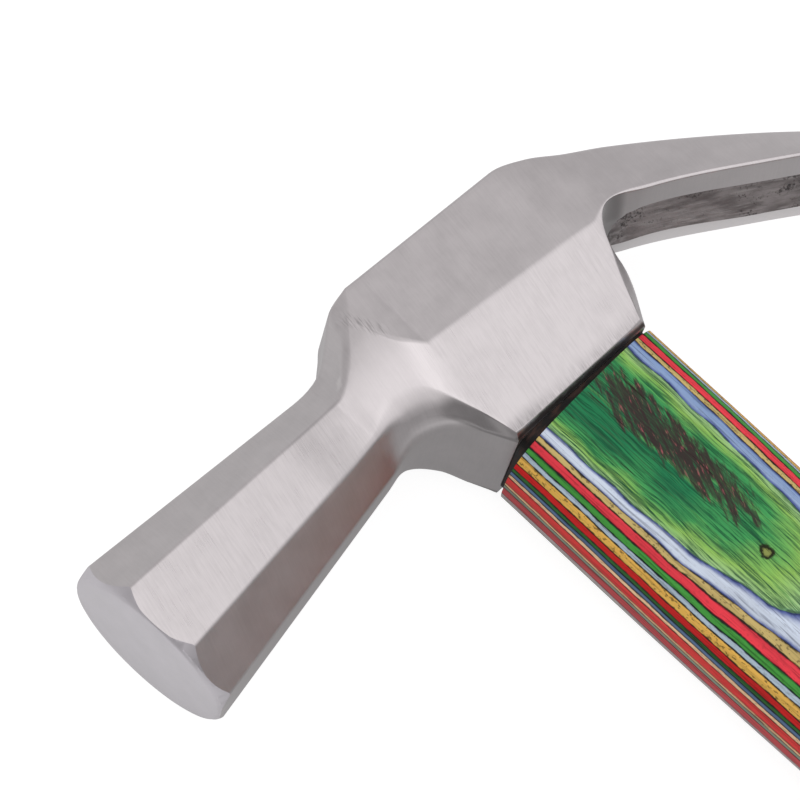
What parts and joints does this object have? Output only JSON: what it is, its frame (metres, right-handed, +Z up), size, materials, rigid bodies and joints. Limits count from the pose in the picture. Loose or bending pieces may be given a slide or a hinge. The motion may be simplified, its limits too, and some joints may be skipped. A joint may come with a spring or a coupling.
{
  "type": "farrier hammer",
  "caption": "Farrier's driving hammer: ground steel head with flared octagonal barrel and split claws on a handle laminated from dyed wood veneers.",
  "frame": {"origin": "middle of the lower cheek's flat, on the surface the hammer lies on", "axes": "+X towards the claws, +Y towards the top of the head with the handle running to -Y, +Z up from the cheek it lies on"},
  "size_m": [0.1235, 0.3199, 0.0254],
  "materials": {
    "ground_steel": "satin, ground in fine parallel scratches",
    "black_resin": "dark, cured",
    "veneer_green": "dyed veneer, oiled satin",
    "veneer_pale_blue": "dyed veneer, oiled satin",
    "veneer_olive": "dyed veneer, oiled satin",
    "veneer_bright_red": "dyed veneer, oiled satin",
    "veneer_light_blue": "dyed veneer, oiled satin",
    "veneer_amber": "dyed veneer, oiled satin",
    "veneer_dark_red": "dyed veneer, oiled satin",
    "veneer_dark_green": "dyed veneer, oiled satin",
    "veneer_navy": "dyed veneer, oiled satin",
    "veneer_cream": "dyed veneer, oiled satin",
    "veneer_red": "dyed veneer, oiled satin",
    "veneer_tan": "dyed veneer, oiled satin",
    "veneer_grey_green": "dyed veneer, oiled satin",
    "veneer_rose_red": "dyed veneer, oiled satin",
    "veneer_grey": "dyed veneer, oiled satin",
    "veneer_blue": "dyed veneer, oiled satin",
    "veneer_maroon": "dyed veneer, oiled satin",
    "beech": "plain",
    "wedge_steel": "dull"
  },
  "bodies": {
    "root": {"head": "ground_steel", "bedding_ring": "black_resin", "veneer_01_green": "veneer_green", "veneer_02_pale_blue": "veneer_pale_blue", "veneer_03_olive": "veneer_olive", "veneer_04_bright_red": "veneer_bright_red", "veneer_05_green": "veneer_green", "veneer_06_light_blue": "veneer_light_blue", "veneer_07_amber": "veneer_amber", "veneer_08_dark_red": "veneer_dark_red", "veneer_09_dark_green": "veneer_dark_green", "veneer_10_navy": "veneer_navy", "veneer_11_cream": "veneer_cream", "veneer_12_red": "veneer_red", "veneer_13_tan": "veneer_tan", "veneer_14_grey_green": "veneer_grey_green", "veneer_15_rose_red": "veneer_rose_red", "veneer_16_grey": "veneer_grey", "veneer_17_green": "veneer_green", "veneer_18_amber": "veneer_amber", "veneer_19_red": "veneer_red", "veneer_20_blue": "veneer_blue", "veneer_21_olive": "veneer_olive", "veneer_22_green": "veneer_green", "veneer_23_maroon": "veneer_maroon", "wooden_wedge": "beech", "steel_wedge": "wedge_steel"}
  },
  "joints": []
}
